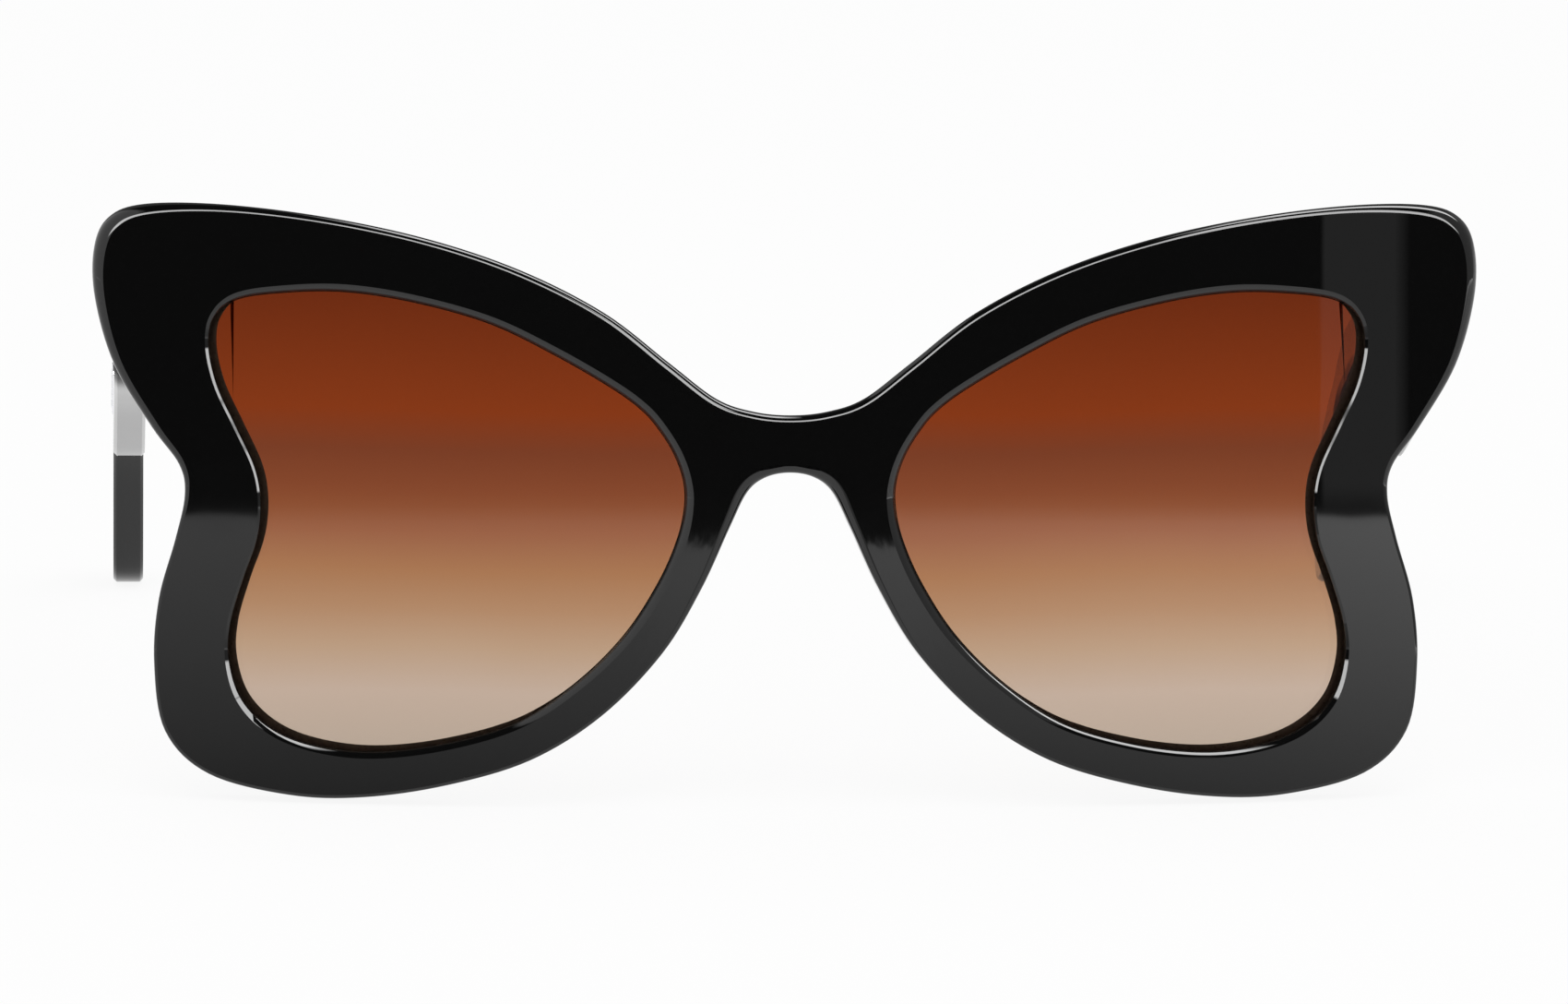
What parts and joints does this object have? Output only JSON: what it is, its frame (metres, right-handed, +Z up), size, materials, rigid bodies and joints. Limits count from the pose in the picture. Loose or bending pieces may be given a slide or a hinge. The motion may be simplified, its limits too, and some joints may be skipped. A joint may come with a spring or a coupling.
{
  "type": "sunglasses",
  "caption": "Oversized butterfly sunglasses with a wrapped glossy black front, brown gradient lenses, and wide folding temples set with rows of small stone studs.",
  "frame": {"origin": "middle of the object's box on the ground, with the temples open", "axes": "+Z up, -Y where the lenses face, +X the wearer's left, which is the viewer's right"},
  "size_m": [0.15, 0.148, 0.0636],
  "materials": {
    "acetate": "polished black acetate",
    "lens": "brown gradient tint, dark at the top",
    "wire": "drawn nickel silver",
    "hinge": "plated nickel silver",
    "screw": "plated steel",
    "stud": "polished silver plate",
    "crystal": "clear faceted stone with a foiled back"
  },
  "bodies": {
    "front": {"front_frame": "acetate", "left_lens": "lens", "right_lens": "lens", "left_nose_pad": "acetate", "right_nose_pad": "acetate", "left_front_leaf": "hinge", "right_front_leaf": "hinge", "left_hinge_screw": "screw", "right_hinge_screw": "screw", "left_front_rivets": "hinge", "right_front_rivets": "hinge"},
    "left_arm": {"left_temple": "acetate", "left_core_wire": "wire", "left_temple_leaf": "hinge", "left_temple_rivets": "hinge", "left_studs": "stud", "left_crystals": "crystal"},
    "right_arm": {"right_temple": "acetate", "right_core_wire": "wire", "right_temple_leaf": "hinge", "right_temple_rivets": "hinge", "right_studs": "stud", "right_crystals": "crystal"}
  },
  "joints": [
    {"name": "left_hinge", "type": "hinge", "parent": "front", "child": "left_arm", "pos_m": [0.0676, -0.05222, 0.05074], "axis": [0, 0.1651, 0.9863], "range_deg": [0, 92.5]},
    {"name": "right_hinge", "type": "hinge", "parent": "front", "child": "right_arm", "pos_m": [-0.0676, -0.05222, 0.05074], "axis": [0, -0.1651, -0.9863], "range_deg": [0, 88]}
  ]
}
